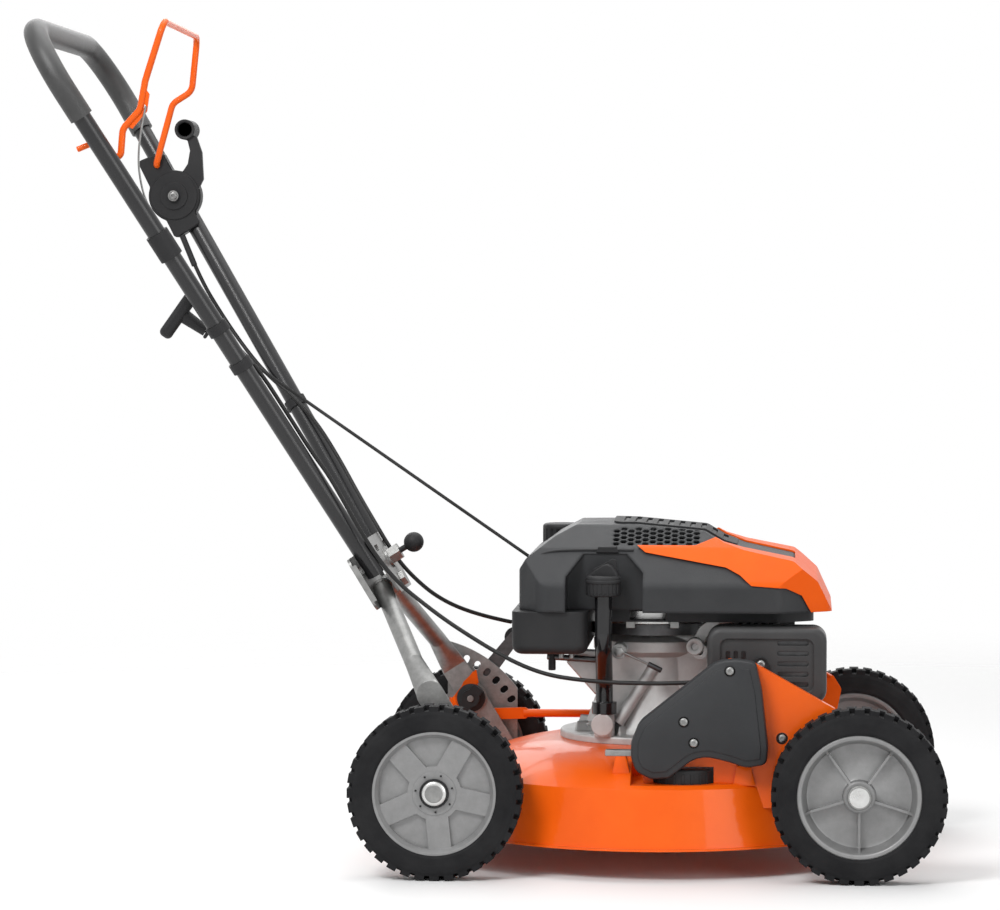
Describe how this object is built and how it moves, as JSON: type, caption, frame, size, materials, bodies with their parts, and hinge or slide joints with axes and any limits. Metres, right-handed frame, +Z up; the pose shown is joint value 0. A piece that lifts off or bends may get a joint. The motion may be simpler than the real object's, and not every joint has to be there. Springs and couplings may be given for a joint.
{
  "type": "push lawn mower",
  "caption": "Push lawn mower: round steel deck, petrol engine under a cowl, ribbed wheels on two coupled height cranks, tilting and swivelling loop handle.",
  "frame": {"origin": "on the ground below the blade shaft, midway between the axles", "axes": "+X forward, +Y to the operator's left, +Z up"},
  "size_m": [1.0692, 0.515, 0.9899],
  "materials": {
    "orange_paint": "satin powder coat",
    "accent_plastic": "satin moulded",
    "tyre_rubber": "matt",
    "rim_plastic": "satin moulded",
    "zinc_steel": "zinc plated",
    "dark_steel": "oiled",
    "black_plastic": "matt moulded",
    "grey_plastic": "fine grained",
    "cast_aluminium": "cast",
    "black_paint": "satin",
    "grip_foam": "foam",
    "cable_sheath": "satin",
    "rope_cord": "braided"
  },
  "bodies": {
    "chassis": {"deck": "orange_paint", "rear_bracket_left": "orange_paint", "rear_bracket_right": "orange_paint", "drive_bracket": "orange_paint", "front_bracket": "orange_paint", "sector_plate": "zinc_steel", "crankcase": "cast_aluminium", "cylinder_head": "cast_aluminium", "spark_plug": "black_plastic", "muffler": "dark_steel", "muffler_guard": "black_paint", "shroud_accent": "accent_plastic", "vent_grille": "black_plastic", "engine_shroud": "grey_plastic", "blower_base": "grey_plastic", "fuel_tank": "black_plastic", "filler_tube": "black_plastic", "drive_drum": "black_plastic", "drive_cover": "grey_plastic", "chassis_screws": "zinc_steel", "lock_hardware": "zinc_steel", "starter_rope": "rope_cord"},
    "rear_crank": {"rear_axle": "zinc_steel", "height_lever": "dark_steel", "height_knob": "black_plastic"},
    "front_crank": {"front_axle": "zinc_steel"},
    "link_bar": {"link_rod": "orange_paint"},
    "rear_wheel_left": {"rear_tyre_left": "tyre_rubber", "rear_rim_left": "rim_plastic"},
    "rear_wheel_right": {"rear_tyre_right": "tyre_rubber", "rear_rim_right": "rim_plastic"},
    "front_wheel_left": {"front_tyre_left": "tyre_rubber", "front_rim_left": "rim_plastic"},
    "front_wheel_right": {"front_tyre_right": "tyre_rubber", "front_rim_right": "rim_plastic"},
    "blade_shaft": {"crankshaft": "dark_steel", "blade_adapter": "dark_steel", "blade": "dark_steel", "blade_bolt": "dark_steel", "flywheel": "dark_steel"},
    "fuel_cap_body": {"fuel_cap": "black_plastic"},
    "dipstick_body": {"dipstick": "black_plastic"},
    "lower_handle": {"strut_left": "zinc_steel", "strut_right": "zinc_steel", "rear_plate": "zinc_steel", "swivel_bolt": "zinc_steel"},
    "upper_handle": {"handle_tube": "black_paint", "grip": "grip_foam", "front_plate": "zinc_steel", "control_housing": "black_plastic", "tube_clips": "black_plastic", "control_cable": "cable_sheath", "drive_cable": "cable_sheath", "bail_wire": "zinc_steel"},
    "plunger_body": {"plunger": "black_plastic"},
    "bail_body": {"bail": "orange_paint"},
    "control_lever_body": {"control_lever": "black_plastic"},
    "starter_grip_body": {"starter_grip": "black_plastic"},
    "lock_knob_left_body": {"lock_knob_left": "black_plastic"},
    "lock_knob_right_body": {"lock_knob_right": "black_plastic"}
  },
  "joints": [
    {"name": "height_crank", "type": "hinge", "parent": "chassis", "child": "rear_crank", "pos_m": [-0.301, 0, 0.087], "axis": [0, 1, 0], "range_deg": [-12.5, 18.8]},
    {"name": "front_crank_turn", "type": "hinge", "parent": "chassis", "child": "front_crank", "pos_m": [0.1825, 0, 0.145], "axis": [0, 1, 0], "range_deg": [-12.6, 18.9]},
    {"name": "link_turn", "type": "hinge", "parent": "rear_crank", "child": "link_bar", "pos_m": [-0.301, 0, 0.131], "axis": [0, 1, 0], "range_deg": [-18.9, 12.6]},
    {"name": "rear_left_spin", "type": "hinge", "parent": "rear_crank", "child": "rear_wheel_left", "pos_m": [-0.24175, 0.235, 0.1], "axis": [0, 1, 0], "continuous": true},
    {"name": "rear_right_spin", "type": "hinge", "parent": "rear_crank", "child": "rear_wheel_right", "pos_m": [-0.24175, -0.235, 0.1], "axis": [0, 1, 0], "continuous": true},
    {"name": "front_left_spin", "type": "hinge", "parent": "front_crank", "child": "front_wheel_left", "pos_m": [0.24175, 0.235, 0.1], "axis": [0, 1, 0], "continuous": true},
    {"name": "front_right_spin", "type": "hinge", "parent": "front_crank", "child": "front_wheel_right", "pos_m": [0.24175, -0.235, 0.1], "axis": [0, 1, 0], "continuous": true},
    {"name": "blade_spin", "type": "hinge", "parent": "chassis", "child": "blade_shaft", "pos_m": [0, 0, 0.1], "axis": [0, 0, 1], "continuous": true},
    {"name": "fuel_cap_twist", "type": "hinge", "parent": "chassis", "child": "fuel_cap_body", "pos_m": [-0.114, 0.075, 0.37], "axis": [0, 0, 1], "range_deg": [0, 120]},
    {"name": "dipstick_lift", "type": "slide", "parent": "chassis", "child": "dipstick_body", "axis": [0, 0, 1], "range_m": [0, 0.08]},
    {"name": "handle_tilt", "type": "hinge", "parent": "chassis", "child": "lower_handle", "pos_m": [-0.19, 0, 0.101], "axis": [0, 1, 0], "range_deg": [-8, 25], "deforming": ["control_cable", "drive_cable", "starter_rope"]},
    {"name": "handle_swivel", "type": "hinge", "parent": "lower_handle", "child": "upper_handle", "pos_m": [-0.31619, 0, 0.3194], "axis": [0.8554, 0, 0.518], "range_deg": [-10, 10], "deforming": ["control_cable", "drive_cable", "starter_rope"]},
    {"name": "plunger_pull", "type": "slide", "parent": "upper_handle", "child": "plunger_body", "axis": [0.8554, 0, 0.518], "range_m": [0, 0.008], "stiffness_N_per_m": 800, "springref_m": -0.004},
    {"name": "bail_turn", "type": "hinge", "parent": "upper_handle", "child": "bail_body", "pos_m": [-0.625, 0, 0.828], "axis": [0, 1, 0], "range_deg": [-42, 0], "stiffness_Nm_per_rad": 0.5, "springref_deg": 20.05},
    {"name": "control_turn", "type": "hinge", "parent": "upper_handle", "child": "control_lever_body", "pos_m": [-0.6037, 0.17, 0.7896], "axis": [0, 1, 0], "range_deg": [-18, 40]},
    {"name": "starter_pull", "type": "slide", "parent": "upper_handle", "child": "starter_grip_body", "axis": [-0.8109, -0.114, 0.5739], "range_m": [0, 0.3], "stiffness_N_per_m": 20, "springref_m": -0.15},
    {"name": "lock_left_turn", "type": "hinge", "parent": "chassis", "child": "lock_knob_left_body", "pos_m": [-0.2325, 0.151, 0.1674], "axis": [0, 1, 0], "continuous": true},
    {"name": "lock_right_turn", "type": "hinge", "parent": "chassis", "child": "lock_knob_right_body", "pos_m": [-0.2325, -0.151, 0.1674], "axis": [0, 1, 0], "continuous": true}
  ],
  "couplings": [
    {"joint": "front_crank_turn", "follows": "height_crank", "ratio": 1},
    {"joint": "link_turn", "follows": "height_crank", "ratio": -1}
  ]
}
